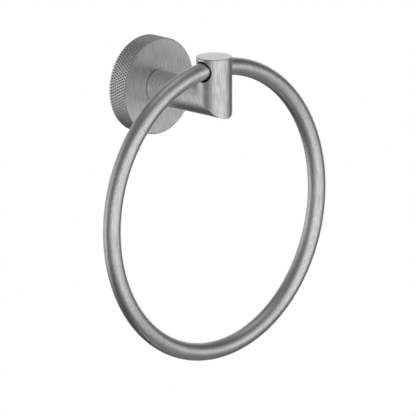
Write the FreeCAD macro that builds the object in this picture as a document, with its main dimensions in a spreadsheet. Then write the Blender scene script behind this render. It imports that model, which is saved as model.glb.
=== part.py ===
import FreeCAD, Part

import math
import os

import Sketcher

# Wall-mounted towel ring: a knurled round flange, a post that turns up through a mitre, and a
# round bar bent into a closed ring that hangs loose in the post's cross bore.
#
# Frame: the wall is the plane Y = 0 with the wall on its +Y side, +Z is up and +X is to the right
# of someone who faces the wall. The origin is on the stem's axis. Pieces that are turned about
# that axis are drawn upright, with Z as their axis and Y as up, and then laid down by OUTWARD.

V = FreeCAD.Vector
ORIGIN = V(0, 0, 0)
OUTWARD = FreeCAD.Rotation(V(1, 0, 0), 90)
SAME = 1e-4  # lengths closer than this are one length

# Driving dimensions: name, value in mm or degrees, what it is
SIZES = [
    ("flange_dia", 57.6, "flange, over the knurl's ridges"),
    ("flange_depth", 12.8, "wall to the flange's front face"),
    ("flange_face", 3.0, "thickness of the flange's front"),
    ("flange_wall", 4.0, "thickness of the flange's rim"),
    ("flange_edge", 0.2, "chamfer round the flange's front"),
    ("knurl_pitch", 1.79, "knurl's pits round the rim, from one to the next"),
    ("knurl_angle", 29.2, "knurl's ridges against the flange's axis"),
    ("knurl_depth", 1.0, "depth of the knurl's pits"),
    ("knurl_start", 0.05, "first whole row of pits, as a share of a row, from the wall"),
    ("post_dia", 21.2, "stem and upright"),
    ("post_reach", 58.75, "wall to the upright's axis"),
    ("post_rise", 25.5, "stem's axis to the upright's top"),
    ("post_edge", 0.5, "rounding round the upright's top"),
    ("post_seat_edge", 0.3, "chamfer round the stem's seat"),
    ("bore_rise", 17.6, "stem's axis to the cross bore's axis"),
    ("ring_centre_dia", 170.2, "ring, across its bar's centreline"),
    ("ring_bar_dia", 10.5, "ring's round bar"),
    ("ring_lift", 0.25, "ring's centreline above the bore's axis, at the post's sides"),
    ("ring_clearance", 0.15, "least gap between the ring and the bore"),
    ("bracket_depth", 8.0, "thickness of the wall bracket"),
    ("bracket_clearance", 0.3, "gap between the bracket and the flange's rim"),
    ("bracket_centre_dia", 20.0, "bracket's centre hole, round the bolt's head"),
    ("bracket_groove", 1.6, "depth of the V groove round the bracket"),
    ("bracket_edge", 0.6, "chamfers of the bracket's rim"),
    ("wall_hole_dia", 5.0, "bracket's holes for the wall screws"),
    ("wall_hole_sink_dia", 10.0, "countersinks of those holes"),
    ("wall_hole_spacing", 34.0, "from one wall screw to the other"),
    ("bolt_dia", 6.0, "thread of the stem bolt"),
    ("bolt_head_dia", 10.0, "head of the stem bolt"),
    ("bolt_head_depth", 6.0, "height of that head"),
    ("bolt_grip", 10.0, "length of the bolt inside the stem"),
    ("bolt_edge", 0.4, "chamfers of the stem bolt"),
    ("bolt_key", 5.0, "hexagon socket of the stem bolt, across its flats"),
    ("bolt_key_depth", 3.0, "depth of that socket"),
    ("bolt_hole_clearance", 0.2, "gap round the bolt in the flange and the washer"),
    ("thread_clearance", 0.1, "gap round a screw in its tapped hole"),
    ("tapped_hole_spare", 3.0, "tapped hole, past the bolt's end"),
    ("washer_dia", 11.8, "spring washer under the bolt's head"),
    ("washer_thickness", 1.6, "thickness of that washer"),
    ("washer_slit", 1.2, "width of its slit"),
    ("set_screw_dia", 4.0, "thread of the set screw under the rim"),
    ("set_screw_edge", 0.4, "chamfer of the set screw's socket end"),
    ("set_screw_recess", 0.4, "set screw's end, below the knurl's pits"),
    ("set_screw_key", 2.0, "hexagon socket of the set screw, across its flats"),
    ("set_screw_key_depth", 1.6, "depth of that socket"),
    ("set_screw_seat_gap", 0.15, "set screw's tip from the bottom of the V groove"),
]

# Places that several pieces share, as expressions in the sheet's names
BRACKET_RADIUS = "(Sizes.flange_dia / 2 - Sizes.flange_wall - Sizes.bracket_clearance)"
WASHER_SEAT = "Sizes.flange_depth - Sizes.flange_face - Sizes.washer_thickness"
BOLT_LENGTH = (
    "(Sizes.bolt_head_depth + Sizes.washer_thickness + Sizes.flange_face + Sizes.bolt_grip)"
)
RING_DROP = "sqrt((Sizes.ring_centre_dia / 2) ^ 2 - (Sizes.post_dia / 2) ^ 2)"
SET_SCREW_END = "(Sizes.flange_dia / 2 - Sizes.knurl_depth - Sizes.set_screw_recess)"
SET_SCREW_LENGTH = (
    f"({SET_SCREW_END} - {BRACKET_RADIUS} + Sizes.bracket_groove - Sizes.set_screw_seat_gap)"
)

doc = FreeCAD.newDocument("towel_ring")
sheet = doc.addObject("Spreadsheet::Sheet", "Sizes")
for number, (alias, value, meaning) in enumerate(SIZES, start=1):
    sheet.set(f"A{number}", alias)
    sheet.set(f"B{number}", str(value))
    sheet.setAlias(f"B{number}", alias)
    sheet.set(f"C{number}", meaning)
doc.recompute()


def size(alias):
    """Value of a driving dimension."""
    return float(sheet.get(alias))


def bind(thing, **expressions):
    """Bind properties of an object to expressions in the sheet's aliases."""
    for name, expression in expressions.items():
        thing.setExpression(name.replace("__", "."), expression)


def new_body(label):
    """An empty body for one turned, swept or cut piece."""
    body = doc.addObject("PartDesign::Body", label)
    body.Label = label
    return body


def plane(body, role):
    """One of a body's own origin planes."""
    return next(x for x in body.Origin.OriginFeatures if x.Role == role)


def new_sketch(body, role, label, lift=None):
    """A sketch on one of the body's origin planes, lifted off it by an expression."""
    sketch = body.newObject("Sketcher::SketchObject", label)
    sketch.AttachmentSupport = [(plane(body, role), "")]
    sketch.MapMode = "FlatFace"
    if lift:
        sketch.setExpression("AttachmentOffset.Base.z", lift)
    return sketch


def pin(sketch, line, end, across, along):
    """Tie a point of a sketch to its place, given as two expressions from the sketch's origin."""
    for kind, axis, expression in (("DistanceX", -2, across), ("DistanceY", -1, along)):
        if expression == "0":
            sketch.addConstraint(Sketcher.Constraint("PointOnObject", line, end, axis))
            continue
        place = float(sketch.evalExpression(expression))
        tie = sketch.addConstraint(Sketcher.Constraint(kind, -1, 1, line, end, place))
        sketch.setExpression(f"Constraints[{tie}]", expression)


def polyline(sketch, points, closed=True):
    """Straight lines through points given as pairs of expressions, each point tied to its place."""
    places = [V(*(float(sketch.evalExpression(part)) for part in point), 0) for point in points]
    count = len(points) if closed else len(points) - 1
    first = sketch.GeometryCount
    for step in range(count):
        sketch.addGeometry(Part.LineSegment(places[step], places[(step + 1) % len(places)]))
        if step:
            joint = (first + step - 1, 2, first + step, 1)
            sketch.addConstraint(Sketcher.Constraint("Coincident", *joint))
    if closed:
        sketch.addConstraint(Sketcher.Constraint("Coincident", first + count - 1, 2, first, 1))
    for step in range(count):
        pin(sketch, first + step, 1, *points[step])
    if not closed:
        pin(sketch, first + count - 1, 2, *points[-1])


def circle(sketch, diameter, across="0", along="0"):
    """A circle whose diameter and centre are expressions."""
    centre = V(float(sketch.evalExpression(across)), float(sketch.evalExpression(along)), 0)
    radius = float(sketch.evalExpression(diameter)) / 2
    ring = sketch.addGeometry(Part.Circle(centre, V(0, 0, 1), radius))
    tie = sketch.addConstraint(Sketcher.Constraint("Diameter", ring, 2 * radius))
    sketch.setExpression(f"Constraints[{tie}]", diameter)
    if across == "0" and along == "0":
        sketch.addConstraint(Sketcher.Constraint("Coincident", ring, 3, -1, 1))
    else:
        pin(sketch, ring, 3, across, along)


def turned(body, label, points):
    """Turn a closed profile, given as radius and height, about the body's Z axis."""
    sketch = new_sketch(body, "XZ_Plane", f"{label}_profile")
    polyline(sketch, points)
    feature = body.newObject("PartDesign::Revolution", label)
    feature.Profile = sketch
    feature.ReferenceAxis = (sketch, ["V_Axis"])
    feature.Angle = 360
    doc.recompute()
    return feature


def drilled(body, label, sketch, depth=None, side="One side", ahead=False):
    """Cut a sketch's outline into the body, through all of it or to a depth given as an expression.

    The cut runs back from the sketch's plane, ahead of it, or both ways.
    """
    before = body.Shape.Volume
    feature = body.newObject("PartDesign::Pocket", label)
    feature.Profile = sketch
    feature.Type = "Length" if depth else "ThroughAll"
    feature.SideType = side
    feature.Reversed = ahead
    if depth:
        feature.setExpression("Length", depth)
    doc.recompute()
    if body.Shape.Volume > before - 1e-6:
        raise RuntimeError(f"{label} cuts nothing")
    return feature


def edged(body, label, kind, amount, diameter, axis, height):
    """Fillet or chamfer the round edge of this diameter that lies at this height along an axis."""
    tip = body.Tip
    names = [
        f"Edge{number}"
        for number, edge in enumerate(tip.Shape.Edges, start=1)
        if edge.Curve.TypeId == "Part::GeomCircle"
        and abs(edge.Curve.Radius - diameter / 2) < SAME
        and abs(edge.Curve.Center.dot(axis) - height) < SAME
    ]
    feature = body.newObject(f"PartDesign::{kind}", label)
    feature.Base = (tip, names)
    feature.setExpression("Radius" if kind == "Fillet" else "Size", amount)
    doc.recompute()
    return feature


def key_socket(body, label, flats, depth):
    """A hexagon socket that starts at the body's own XY plane and goes up into it."""
    socket = body.newObject("PartDesign::SubtractivePrism", label)
    socket.AttachmentSupport = [(plane(body, "XY_Plane"), "")]
    socket.MapMode = "FlatFace"
    socket.Polygon = 6
    socket.setExpression("Circumradius", f"{flats} / 2 / cos(30)")
    socket.setExpression("Height", depth)
    doc.recompute()
    return socket


def knurl_form():
    """A solid bar with a raised diamond knurl all round.

    Two crossing sets of ridges leave rows of four-sided pits. Each row of points goes round the
    bar and holds a crossing of two ridges, then the bottom of a pit, in turn, and the next row is
    half a pitch further round. Neighbouring points make the pits' flat sides.
    """
    crest = size("flange_dia") / 2
    bottom = crest - size("knurl_depth")
    pits_round = round(math.pi * size("flange_dia") / size("knurl_pitch"))
    points_round = 2 * pits_round
    half_pitch = math.pi * size("flange_dia") / points_round
    row_height = half_pitch / math.tan(math.radians(size("knurl_angle")))
    lowest = (size("knurl_start") - 1) * row_height
    rows = math.ceil((size("flange_depth") - lowest) / row_height) + 1

    def point(row, step):
        radius = crest if (row + step) % 2 == 0 else bottom
        turn = 2 * math.pi * step / points_round
        return V(radius * math.cos(turn), radius * math.sin(turn), lowest + row * row_height)

    def side(*corners):
        return Part.Face(Part.makePolygon([*corners, corners[0]]))

    sides = []
    for row in range(rows - 1):
        for step in range(points_round):
            near, beside = point(row, step), point(row, step + 1)
            above, across = point(row + 1, step), point(row + 1, step + 1)
            if (row + step) % 2 == 0:
                sides += [side(beside, across, near), side(above, near, across)]
            else:
                sides += [side(near, beside, above), side(across, above, beside)]
    for row in (0, rows - 1):
        sides.append(side(*(point(row, step) for step in range(points_round))))
    shell = Part.Shell(sides)
    shell.sewShape()
    return Part.Solid(shell)


# Flange: a turned cup, open to the wall, that is left over size round its rim, drilled for the
# set screw and then brought down by the knurl
blank = new_body("flange_blank")
turned(blank, "flange_turning", [
    ("Sizes.flange_dia / 2 - Sizes.flange_wall", "0"),
    ("Sizes.flange_dia / 2 + Sizes.flange_edge", "0"),
    ("Sizes.flange_dia / 2 + Sizes.flange_edge", "Sizes.flange_depth - 2 * Sizes.flange_edge"),
    ("Sizes.flange_dia / 2 - Sizes.flange_edge", "Sizes.flange_depth"),
    ("Sizes.bolt_dia / 2 + Sizes.bolt_hole_clearance", "Sizes.flange_depth"),
    ("Sizes.bolt_dia / 2 + Sizes.bolt_hole_clearance", "Sizes.flange_depth - Sizes.flange_face"),
    ("Sizes.flange_dia / 2 - Sizes.flange_wall", "Sizes.flange_depth - Sizes.flange_face"),
])
set_screw_hole = new_sketch(blank, "XZ_Plane", "set_screw_place")
circle(set_screw_hole, "Sizes.set_screw_dia + 2 * Sizes.thread_clearance",
       along="Sizes.bracket_depth / 2")
drilled(blank, "set_screw_hole", set_screw_hole, ahead=True)
knurl = doc.addObject("Part::Feature", "knurl")
knurl.Shape = knurl_form()
flange = doc.addObject("Part::MultiCommon", "flange_cover")
flange.Label = "flange_cover"
flange.Shapes = [blank, knurl]
flange.Placement = FreeCAD.Placement(ORIGIN, OUTWARD)

# Post: a round section taken out along the stem and up through a sharp mitre, then drilled
# crosswise for the ring and tapped for the bolt
post = new_body("arm_post")
post_section = new_sketch(post, "XY_Plane", "post_section", lift="Sizes.flange_depth")
circle(post_section, "Sizes.post_dia")
post_path = new_sketch(post, "YZ_Plane", "post_path")
polyline(post_path, [
    ("0", "Sizes.flange_depth"),
    ("0", "Sizes.post_reach"),
    ("Sizes.post_rise", "Sizes.post_reach"),
], closed=False)
elbow = post.newObject("PartDesign::AdditivePipe", "mitred_elbow")
elbow.Profile = post_section
elbow.Spine = (post_path, ["Edge1", "Edge2"])
elbow.Transition = "Right corner"
doc.recompute()
edged(post, "top_edge", "Fillet", "Sizes.post_edge",
      size("post_dia"), V(0, 1, 0), size("post_rise"))
edged(post, "seat_edge", "Chamfer", "Sizes.post_seat_edge",
      size("post_dia"), V(0, 0, 1), size("flange_depth"))
cross_bore = new_sketch(post, "YZ_Plane", "cross_bore_place")
circle(cross_bore, "Sizes.ring_bar_dia + 2 * (Sizes.ring_clearance + Sizes.ring_lift"
       f" + Sizes.ring_centre_dia / 2 - {RING_DROP})",
       "Sizes.bore_rise", "Sizes.post_reach")
drilled(post, "cross_bore", cross_bore, side="Symmetric")
tapped_hole = new_sketch(post, "XY_Plane", "tapped_hole_place", lift="Sizes.flange_depth")
circle(tapped_hole, "Sizes.bolt_dia + 2 * Sizes.thread_clearance")
drilled(post, "tapped_hole", tapped_hole, "Sizes.bolt_grip + Sizes.tapped_hole_spare", ahead=True)

# Ring: a round bar bent to a circle and closed. It hangs through the bore, with its centreline a
# little above the bore's axis where it leaves the post on each side
ring = doc.addObject("Part::Torus", "ring")
ring.Label = "ring"
bind(
    ring,
    Radius1="Sizes.ring_centre_dia / 2",
    Radius2="Sizes.ring_bar_dia / 2",
    Placement__Base__y="-Sizes.post_reach",
    Placement__Base__z=f"Sizes.bore_rise + Sizes.ring_lift - {RING_DROP}",
)
ring.Placement.Rotation = OUTWARD

# Wall bracket: a turned disc inside the flange, with a V groove round it for the set screw, a
# centre hole round the bolt's head and two countersunk holes for the wall screws
bracket = new_body("wall_bracket")
turned(bracket, "bracket_turning", [
    (f"{BRACKET_RADIUS} - Sizes.bracket_edge", "0"),
    (BRACKET_RADIUS, "Sizes.bracket_edge"),
    (BRACKET_RADIUS, "Sizes.bracket_depth / 2 - Sizes.bracket_groove"),
    (f"{BRACKET_RADIUS} - Sizes.bracket_groove", "Sizes.bracket_depth / 2"),
    (BRACKET_RADIUS, "Sizes.bracket_depth / 2 + Sizes.bracket_groove"),
    (BRACKET_RADIUS, "Sizes.bracket_depth - Sizes.bracket_edge"),
    (f"{BRACKET_RADIUS} - Sizes.bracket_edge", "Sizes.bracket_depth"),
    ("Sizes.bracket_centre_dia / 2", "Sizes.bracket_depth"),
    ("Sizes.bracket_centre_dia / 2", "0"),
])
wall_hole_places = new_sketch(bracket, "XY_Plane", "wall_hole_places", lift="Sizes.bracket_depth")
circle(wall_hole_places, "Sizes.wall_hole_dia", across="Sizes.wall_hole_spacing / 2")
circle(wall_hole_places, "Sizes.wall_hole_dia", across="-Sizes.wall_hole_spacing / 2")
wall_holes = bracket.newObject("PartDesign::Hole", "wall_holes")
wall_holes.Profile = wall_hole_places
wall_holes.DepthType = "ThroughAll"
wall_holes.HoleCutType = "Countersink"
wall_holes.HoleCutCustomValues = True
wall_holes.HoleCutCountersinkAngle = 90
bind(wall_holes, Diameter="Sizes.wall_hole_dia", HoleCutDiameter="Sizes.wall_hole_sink_dia")
doc.recompute()

# Stem bolt: a socket head screw from inside the flange into the stem, on a spring washer
bolt = new_body("stem_bolt")
turned(bolt, "bolt_turning", [
    ("0", "0"),
    ("Sizes.bolt_head_dia / 2 - Sizes.bolt_edge", "0"),
    ("Sizes.bolt_head_dia / 2", "Sizes.bolt_edge"),
    ("Sizes.bolt_head_dia / 2", "Sizes.bolt_head_depth"),
    ("Sizes.bolt_dia / 2", "Sizes.bolt_head_depth"),
    ("Sizes.bolt_dia / 2", f"{BOLT_LENGTH} - Sizes.bolt_edge"),
    ("Sizes.bolt_dia / 2 - Sizes.bolt_edge", BOLT_LENGTH),
    ("0", BOLT_LENGTH),
])
key_socket(bolt, "bolt_key", "Sizes.bolt_key", "Sizes.bolt_key_depth")
bolt.Placement.Rotation = OUTWARD
bolt.setExpression("Placement.Base.y", f"-({WASHER_SEAT} - Sizes.bolt_head_depth)")

washer = new_body("lock_washer")
washer_section = new_sketch(washer, "XY_Plane", "washer_section")
circle(washer_section, "Sizes.washer_dia")
circle(washer_section, "Sizes.bolt_dia + 2 * Sizes.bolt_hole_clearance")
washer_plate = washer.newObject("PartDesign::Pad", "washer_plate")
washer_plate.Profile = washer_section
washer_plate.setExpression("Length", "Sizes.washer_thickness")
doc.recompute()
slit_place = new_sketch(washer, "XY_Plane", "slit_place")
polyline(slit_place, [
    ("-Sizes.washer_slit / 2", "Sizes.bolt_dia / 4"),
    ("Sizes.washer_slit / 2", "Sizes.bolt_dia / 4"),
    ("Sizes.washer_slit / 2", "Sizes.washer_dia"),
    ("-Sizes.washer_slit / 2", "Sizes.washer_dia"),
])
drilled(washer, "slit", slit_place, ahead=True)
washer.Placement.Rotation = OUTWARD
washer.setExpression("Placement.Base.y", f"-({WASHER_SEAT})")

# Set screw: a headless cone point screw through the underside of the rim into the V groove
screw = new_body("flange_set_screw")
turned(screw, "set_screw_turning", [
    ("0", "0"),
    ("Sizes.set_screw_dia / 2 - Sizes.set_screw_edge", "0"),
    ("Sizes.set_screw_dia / 2", "Sizes.set_screw_edge"),
    ("Sizes.set_screw_dia / 2", f"{SET_SCREW_LENGTH} - Sizes.set_screw_dia / 2"),
    ("0", SET_SCREW_LENGTH),
])
key_socket(screw, "set_screw_key", "Sizes.set_screw_key", "Sizes.set_screw_key_depth")
screw.setExpression("Placement.Base.y", "-Sizes.bracket_depth / 2")
screw.setExpression("Placement.Base.z", f"-({SET_SCREW_END})")

for body in (post, bracket):
    body.Placement = FreeCAD.Placement(ORIGIN, OUTWARD)
doc.recompute()

# Every object has to be sound before any piece is written
for thing in doc.Objects:
    if {"Invalid", "Error"} & set(thing.State):
        raise RuntimeError(f"{thing.Name} failed: {thing.State}")
os.makedirs("parts", exist_ok=True)
for piece in (flange, post, ring, bracket, bolt, washer, screw):
    shape = piece.Shape
    if shape.isNull() or not shape.isValid() or not shape.Solids:
        raise RuntimeError(f"{piece.Label} has no sound solid")
    shape.exportStep(f"parts/{piece.Label}.step")
    print(piece.Label, len(shape.Solids), len(shape.Faces), round(shape.Volume, 1), shape.BoundBox)
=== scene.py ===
import math

import bpy
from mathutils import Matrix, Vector


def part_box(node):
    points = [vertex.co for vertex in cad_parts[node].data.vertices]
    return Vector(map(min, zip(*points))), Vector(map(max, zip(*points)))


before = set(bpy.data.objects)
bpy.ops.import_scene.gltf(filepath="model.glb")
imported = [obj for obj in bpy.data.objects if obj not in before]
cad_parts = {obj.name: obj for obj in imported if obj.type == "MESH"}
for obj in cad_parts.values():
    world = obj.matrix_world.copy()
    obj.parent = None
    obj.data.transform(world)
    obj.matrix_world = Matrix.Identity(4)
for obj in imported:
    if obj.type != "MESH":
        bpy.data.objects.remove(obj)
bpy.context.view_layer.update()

MM = 0.001
WHITE = (1.0, 1.0, 1.0, 1.0)
UPWARD = (0.0, 0.0, 1.0)
OUTWARD = (0.0, -1.0, 0.0)  # away from the wall


# Camera: the photograph is a parallel view from the left and a little above
VIEW_AZIMUTH = math.radians(-45.0)
VIEW_ELEVATION = math.radians(13.15)
PHOTO_SIDE_PX = 416
PHOTO_PX_PER_MM = 1.702
ORIGIN_PX = (143.57, 82.48)  # where the photograph shows the frame's origin
CAMERA_DISTANCE = 1.0

view_back = Vector((
    math.sin(VIEW_AZIMUTH) * math.cos(VIEW_ELEVATION),
    -math.cos(VIEW_AZIMUTH) * math.cos(VIEW_ELEVATION),
    math.sin(VIEW_ELEVATION),
))
view_right = Vector((math.cos(VIEW_AZIMUTH), math.sin(VIEW_AZIMUTH), 0))
view_up = view_back.cross(view_right)


def make_camera():
    """A camera whose picture lies on the photograph."""
    data = bpy.data.cameras.new("photo_camera")
    data.type = "ORTHO"
    data.ortho_scale = PHOTO_SIDE_PX / PHOTO_PX_PER_MM * MM
    camera = bpy.data.objects.new("photo_camera", data)
    bpy.context.scene.collection.objects.link(camera)
    middle_px = PHOTO_SIDE_PX / 2
    across = (middle_px - ORIGIN_PX[0]) / PHOTO_PX_PER_MM * MM
    rise = (ORIGIN_PX[1] - middle_px) / PHOTO_PX_PER_MM * MM
    camera.location = view_right * across + view_up * rise + view_back * CAMERA_DISTANCE
    camera.rotation_mode = "QUATERNION"
    camera.rotation_quaternion = (-view_back).to_track_quat("-Z", "Y")
    bpy.context.scene.camera = camera


class Nodes:
    """Short names for building a node tree."""

    def __init__(self, tree):
        self.tree = tree
        tree.nodes.clear()

    def add(self, kind, inputs=None, **settings):
        """A node with its settings, and its inputs linked from sockets or set to values."""
        node = self.tree.nodes.new(kind)
        for name, value in settings.items():
            setattr(node, name, value)
        for name, value in (inputs or {}).items():
            self.feed(node.inputs[name], value)
        return node

    def feed(self, socket, value):
        """Link a socket from another, or set it to a value."""
        if isinstance(value, bpy.types.NodeSocket):
            self.tree.links.new(value, socket)
        else:
            socket.default_value = value

    def maths(self, operation, first, second=0.0):
        """The result of a Math node."""
        return self.add("ShaderNodeMath", {0: first, 1: second}, operation=operation).outputs[0]

    def vector_maths(self, operation, first, second=(0.0, 0.0, 0.0), output="Vector"):
        """The result of a Vector Math node."""
        node = self.add("ShaderNodeVectorMath", {0: first, 1: second}, operation=operation)
        return node.outputs[output]

    def dot(self, first, second):
        """The dot product of two vectors."""
        return self.vector_maths("DOT_PRODUCT", first, second, "Value")

    def scaled(self, vector, factor):
        """A vector or colour times a number."""
        inputs = {0: vector, "Scale": factor}
        return self.add("ShaderNodeVectorMath", inputs, operation="SCALE").outputs["Vector"]

    def mix(self, factor, first, second, kind="FLOAT"):
        """Two numbers or two vectors blended by a factor."""
        start, output = {"FLOAT": (2, 0), "VECTOR": (4, 1)}[kind]
        inputs = {0: factor, start: first, start + 1: second}
        return self.add("ShaderNodeMix", inputs, data_type=kind).outputs[output]

    def spread(self, value, old, new=(0.0, 1.0)):
        """A value mapped from an old range to a new one, and kept in the new one."""
        node = self.add("ShaderNodeMapRange", {
            "Value": value,
            "From Min": old[0],
            "From Max": old[1],
            "To Min": new[0],
            "To Max": new[1],
        })
        return node.outputs["Result"]

    def noise(self, place, scale, detail=2.0, roughness=0.55):
        """Noise stretched by a scale for each axis, in features per metre."""
        mapping = self.add("ShaderNodeMapping", {"Vector": place, "Scale": scale})
        texture = self.add("ShaderNodeTexNoise", {
            "Vector": mapping.outputs["Vector"],
            "Scale": 1.0,
            "Detail": detail,
            "Roughness": roughness,
        })
        return texture.outputs["Fac"]

    def seen_share(self, mirrored=1.0):
        """1 to the camera, a share of 1 in what metal and glass show, and 0 as diffuse light."""
        path = self.add("ShaderNodeLightPath").outputs
        bounced = self.maths("MAXIMUM", path["Is Glossy Ray"], path["Is Transmission Ray"])
        bounced = self.maths("MULTIPLY", bounced, mirrored)
        return self.maths("MAXIMUM", path["Is Camera Ray"], bounced)


# Studio light: soft patches of light all round, named for where they are from the camera's side.
# Azimuth 0 is towards the camera and positive to its right, in degrees; strength 1 is white;
# a higher tightness makes a smaller patch
LIGHT_BASE = 0.04
LIGHT_PATCHES = {
    "front": {"azimuth": 36, "elevation": 22, "strength": 1.00, "tightness": 15.8},
    "front_left": {"azimuth": 3, "elevation": -3, "strength": 1.12, "tightness": 8.8},
    "left_low": {"azimuth": -98, "elevation": -19, "strength": 1.01, "tightness": 22.5},
    "left": {"azimuth": -96, "elevation": 14, "strength": 0.70, "tightness": 9.7},
    "overhead": {"azimuth": 177, "elevation": 81, "strength": 0.81, "tightness": 17.2},
    "front_low": {"azimuth": 41, "elevation": -30, "strength": 1.16, "tightness": 20.3},
    "right": {"azimuth": 75, "elevation": 1, "strength": 1.24, "tightness": 12.4},
    "right_below": {"azimuth": 129, "elevation": -62, "strength": 0.20, "tightness": 12.0},
    "behind_left": {"azimuth": -140, "elevation": 0, "strength": 0.46, "tightness": 22.5},
}

# The white backdrop behind the object, as metal and glass show it: white as far as the middle
# angle from its centre, and gone at the edge angle
BACKDROP = {"azimuth": 180, "elevation": 0, "middle": 10, "edge": 45}


def light_direction(place):
    """Unit vector to a patch or the backdrop, from its angles at the camera's side."""
    turn, rise = math.radians(place["azimuth"]), math.radians(place["elevation"])
    towards_camera = Vector((view_back.x, view_back.y, 0)).normalized()
    flat = towards_camera * math.cos(turn) + view_right * math.sin(turn)
    return flat * math.cos(rise) + Vector((0, 0, math.sin(rise)))


def patch_light(nodes, direction, patch):
    """A patch's light from a direction: full in the patch's middle, and fading round it."""
    nearness = nodes.dot(direction, light_direction(patch))
    falling = nodes.maths("MULTIPLY", nodes.maths("SUBTRACT", nearness, 1.0), patch["tightness"])
    return nodes.maths("MULTIPLY", nodes.maths("EXPONENT", falling), patch["strength"])


def make_world():
    """Soft studio light, and a white backdrop for the camera and for what the metal mirrors."""
    world = bpy.data.worlds.new("studio")
    world.use_nodes = True
    bpy.context.scene.world = world
    nodes = Nodes(world.node_tree)
    direction = nodes.add("ShaderNodeTexCoord").outputs["Generated"]
    light = LIGHT_BASE
    for patch in LIGHT_PATCHES.values():
        light = nodes.maths("ADD", patch_light(nodes, direction, patch), light)
    nearness = nodes.dot(direction, light_direction(BACKDROP))
    edge_to_middle = [math.cos(math.radians(BACKDROP[name])) for name in ("edge", "middle")]
    share = nodes.seen_share(nodes.spread(nearness, edge_to_middle))
    studio = nodes.add("ShaderNodeBackground", {"Color": WHITE, "Strength": light})
    white = nodes.add("ShaderNodeBackground", {"Color": WHITE, "Strength": 1.0})
    mix = nodes.add("ShaderNodeMixShader", {0: share, 1: studio.outputs[0], 2: white.outputs[0]})
    nodes.add("ShaderNodeOutputWorld", {"Surface": mix.outputs[0]})


def new_material(name):
    """An empty node material and its tree."""
    material = bpy.data.materials.new(name)
    material.use_nodes = True
    return material, Nodes(material.node_tree)


# Floor, its sizes in metres
FLOOR_DROP = 2.0
FLOOR_HALF = 0.3
FLOOR_TONE = (0.9, 0.9, 0.9, 1.0)
FLOOR_GLOW = 0.6


def pale_floor(name):
    """Near white, and a little darker where the object's shadow falls."""
    material, nodes = new_material(name)
    diffuse = nodes.add("ShaderNodeBsdfDiffuse", {"Color": FLOOR_TONE})
    glow = nodes.add("ShaderNodeEmission", {"Color": WHITE, "Strength": FLOOR_GLOW})
    both = nodes.add("ShaderNodeAddShader", {0: diffuse.outputs[0], 1: glow.outputs[0]})
    share = nodes.seen_share()
    mix = nodes.add("ShaderNodeMixShader", {0: share, 1: diffuse.outputs[0], 2: both.outputs[0]})
    nodes.add("ShaderNodeOutputMaterial", {"Surface": mix.outputs[0]})
    return material


def make_floor():
    """A pale square floor below the fitting, outside the photograph's frame."""
    sides = ((-1, -1), (1, -1), (1, 1), (-1, 1))
    corners = [(x * FLOOR_HALF, y * FLOOR_HALF, -FLOOR_DROP) for x, y in sides]
    mesh = bpy.data.meshes.new("floor")
    mesh.from_pydata(corners, [], [(0, 1, 2, 3)])
    mesh.materials.append(pale_floor("pale_floor"))
    floor = bpy.data.objects.new("floor", mesh)
    bpy.context.scene.collection.objects.link(floor)


# Brushed metal: streaks, with hairlines and faint clouds in them. Scales are in features per
# metre along each axis, and a pair goes from the darkest grain to the brightest
METAL_TONE = (0.70, 0.726, 0.717)
HAIRLINES_ACROSS, HAIRLINES_ALONG = 3, 2  # to a streak
HAIRLINE_SHARE = 0.4
CLOUD_SCALE = (60.0, 60.0, 25.0)
CLOUD_SHARE = 0.1
GRAIN = (0.2, 0.8)
GRAIN_ROUGHNESS = (0.50, 0.34)
RELIEF = 0.02 * MM

# Flange: shades are factors on the metal's tone, and facing is the cosine with a direction
CREST_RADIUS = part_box("flange_cover")[1].x
FRONT_TO_RIM_FACING = (0.9, 0.6)
# Painted shade deepening into the knurl's pits, and a painted highlight on its crests
PIT_TO_CREST_RADII = (CREST_RADIUS - 0.6 * MM, CREST_RADIUS - 0.22 * MM)
PIT_SHADOW_TO_CREST_HIGHLIGHT = (0.5, 1.55)
FLATTENED_RADII = (CREST_RADIUS - 0.7 * MM, CREST_RADIUS - 0.15 * MM)

# Post, and the seam between it and the flange
STEM_SEAT = -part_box("arm_post")[1].y  # from the wall
STEM_RADIUS = 10.6 * MM
# Painted shade along the seam where the stem meets the flange, on both sides of it
SEAM_ON_FLANGE = (STEM_RADIUS, STEM_RADIUS + 0.2 * MM)
SEAM_ON_STEM = (STEM_SEAT, STEM_SEAT + 0.35 * MM)
PAINTED_SEAM_SHADES = (0.45, 1.0)
BORE_CENTRE = (0.0, -58.75 * MM, 17.6 * MM)
BORE_RADIUS = 6.35 * MM
# Painted shade inside the bore that the ring passes through
BORE_EDGE = (BORE_RADIUS, BORE_RADIUS + 0.05 * MM)
PAINTED_BORE_SHADES = (0.12, 1.0)
# Painted highlight on faces that look upward
TOP_FACING = (0.97, 0.995)
PAINTED_TOP_HIGHLIGHT = (1.0, 1.34)
# Painted highlight along edges, found by a bevel's rounded normal
EDGE_HIGHLIGHT_RADIUS = 0.25 * MM
FLAT_TO_EDGE_FACING = (0.99, 0.93)
FLAT_TO_EDGE_HIGHLIGHT = (1.0, 1.35)


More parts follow.
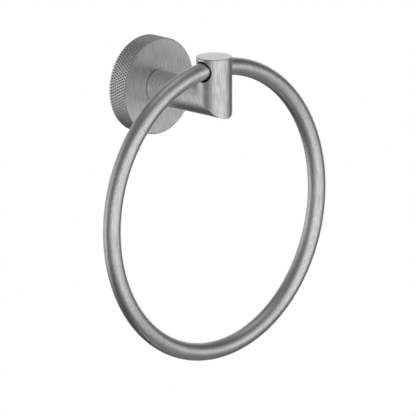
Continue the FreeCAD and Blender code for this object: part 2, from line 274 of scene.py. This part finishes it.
def brushed_metal(name, width, length, contrast, painted_light_and_normal=None):
    """Satin metal brushed upright: streaks along Z, of a width and length, in colour and relief.

    A function given as the last argument paints shade and highlights into the shade, and changes
    the normal, for pieces that have them.
    """
    material, nodes = new_material(name)
    place = nodes.add("ShaderNodeTexCoord").outputs["Object"]
    across, along = 1 / width, 1 / length
    fine_across, fine_along = HAIRLINES_ACROSS * across, HAIRLINES_ALONG * along
    streaks = nodes.noise(place, (across, across, along))
    hairlines = nodes.noise(place, (fine_across, fine_across, fine_along), roughness=0.65)
    grain = nodes.mix(HAIRLINE_SHARE, streaks, hairlines)
    worn = nodes.mix(CLOUD_SHARE, grain, nodes.noise(place, CLOUD_SCALE))
    shade = nodes.spread(worn, GRAIN, (1 - contrast, 1 + contrast))
    normal = nodes.add("ShaderNodeNewGeometry").outputs["Normal"]
    if painted_light_and_normal:
        shade, normal = painted_light_and_normal(nodes, place, shade, normal)
    bump = nodes.add("ShaderNodeBump", {
        "Strength": 0.4, "Distance": RELIEF, "Height": grain, "Normal": normal,
    })
    shader = nodes.add("ShaderNodeBsdfPrincipled", {
        "Base Color": nodes.scaled(METAL_TONE, shade),
        "Metallic": 1.0,
        "Roughness": nodes.spread(worn, GRAIN, GRAIN_ROUGHNESS),
        "Normal": bump.outputs["Normal"],
    })
    nodes.add("ShaderNodeOutputMaterial", {"Surface": shader.outputs[0]})
    return material


def off_axis(nodes, place, centre, flat):
    """Each point's vector from an axis through a centre, and its length.

    Flat is 0 along the axis and 1 across it.
    """
    offset = nodes.vector_maths("MULTIPLY", nodes.vector_maths("SUBTRACT", place, centre), flat)
    return offset, nodes.vector_maths("LENGTH", offset, output="Value")


def flange_painted_light_and_flats(nodes, place, shade, normal):
    """Painted shade in the rim's pits, painted highlights on its flattened crests, painted shade
    at the stem's seam.
    """
    outward, radius = off_axis(nodes, place, (0.0, 0.0, 0.0), (1.0, 0.0, 1.0))
    on_rim = nodes.spread(nodes.dot(normal, OUTWARD), FRONT_TO_RIM_FACING)
    # painted shade along the seam round the stem
    painted_seam_shade = nodes.spread(radius, SEAM_ON_FLANGE, PAINTED_SEAM_SHADES)
    # painted shade in the knurl's pits and a painted highlight on its crests
    painted_rim_light = nodes.spread(radius, PIT_TO_CREST_RADII, PIT_SHADOW_TO_CREST_HIGHLIGHT)
    shade = nodes.maths("MULTIPLY", shade, nodes.mix(on_rim, painted_seam_shade, painted_rim_light))
    flattened = nodes.maths("MULTIPLY", nodes.spread(radius, FLATTENED_RADII), on_rim)
    outward = nodes.vector_maths("NORMALIZE", outward)
    return shade, nodes.mix(flattened, normal, outward, "VECTOR")


def post_painted_light(nodes, place, shade, normal):
    """Painted highlights on the top and along the edges, and painted shade in the bore and along
    the seam.
    """
    bevel = nodes.add("ShaderNodeBevel", {"Radius": EDGE_HIGHLIGHT_RADIUS}, samples=8)
    facing = nodes.dot(bevel.outputs["Normal"], normal)
    radius = off_axis(nodes, place, BORE_CENTRE, (0.0, 1.0, 1.0))[1]
    painted_light_factors = (
        # painted highlight along the edges
        nodes.spread(facing, FLAT_TO_EDGE_FACING, FLAT_TO_EDGE_HIGHLIGHT),
        # painted highlight on the top
        nodes.spread(nodes.dot(normal, UPWARD), TOP_FACING, PAINTED_TOP_HIGHLIGHT),
        # painted shade inside the bore
        nodes.spread(radius, BORE_EDGE, PAINTED_BORE_SHADES),
        # painted shade along the seam at the stem's foot
        nodes.spread(nodes.dot(place, OUTWARD), SEAM_ON_STEM, PAINTED_SEAM_SHADES),
    )
    for painted_light_factor in painted_light_factors:
        shade = nodes.maths("MULTIPLY", shade, painted_light_factor)
    return shade, normal


# Turned metal: scales are as for brushed metal, and shades go with the range of the noise
TURNED_NOISE = (0.3, 0.7)
TURNED_CLOUD_SCALE = (140.0, 140.0, 140.0)
TURNED_CLOUD_SHADES = (0.85, 1.1)
TURNING_MARK_SCALE = (500.0, 3000.0, 500.0)
TURNED_ROUGHNESS_CHANGE = 0.06  # more and less than a metal's own


def turned_metal(name, tone, roughness):
    """Plain machined metal for the hidden pieces, with faint clouds and turning marks."""
    material, nodes = new_material(name)
    place = nodes.add("ShaderNodeTexCoord").outputs["Object"]
    clouds = nodes.noise(place, TURNED_CLOUD_SCALE, detail=4.0)
    marks = nodes.noise(place, TURNING_MARK_SCALE)
    shade = nodes.spread(clouds, TURNED_NOISE, TURNED_CLOUD_SHADES)
    roughnesses = (roughness - TURNED_ROUGHNESS_CHANGE, roughness + TURNED_ROUGHNESS_CHANGE)
    bump = nodes.add("ShaderNodeBump", {"Strength": 0.3, "Distance": RELIEF, "Height": marks})
    shader = nodes.add("ShaderNodeBsdfPrincipled", {
        "Base Color": nodes.scaled(tone, shade),
        "Metallic": 1.0,
        "Roughness": nodes.spread(marks, TURNED_NOISE, roughnesses),
        "Normal": bump.outputs["Normal"],
    })
    nodes.add("ShaderNodeOutputMaterial", {"Surface": shader.outputs[0]})
    return material


def dress(node, material):
    """Give a CAD node its material."""
    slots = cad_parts[node].data.materials
    slots.clear()
    slots.append(material)


make_camera()
make_world()
make_floor()

dress("flange_cover", brushed_metal(
    "brushed_flange", width=0.4 * MM, length=8.0 * MM, contrast=0.6, painted_light_and_normal=flange_painted_light_and_flats))
dress("arm_post", brushed_metal(
    "brushed_post", width=0.55 * MM, length=9.0 * MM, contrast=0.7, painted_light_and_normal=post_painted_light))
dress("ring", brushed_metal("brushed_bar", width=0.4 * MM, length=10.0 * MM, contrast=0.62))
dress("wall_bracket", turned_metal("bracket_metal", tone=(0.55, 0.56, 0.57), roughness=0.5))
screw_metal = turned_metal("screw_metal", tone=(0.42, 0.43, 0.45), roughness=0.35)
for screw in ("stem_bolt", "lock_washer", "flange_set_screw"):
    dress(screw, screw_metal)

bpy.context.scene.view_settings.view_transform = "Standard"
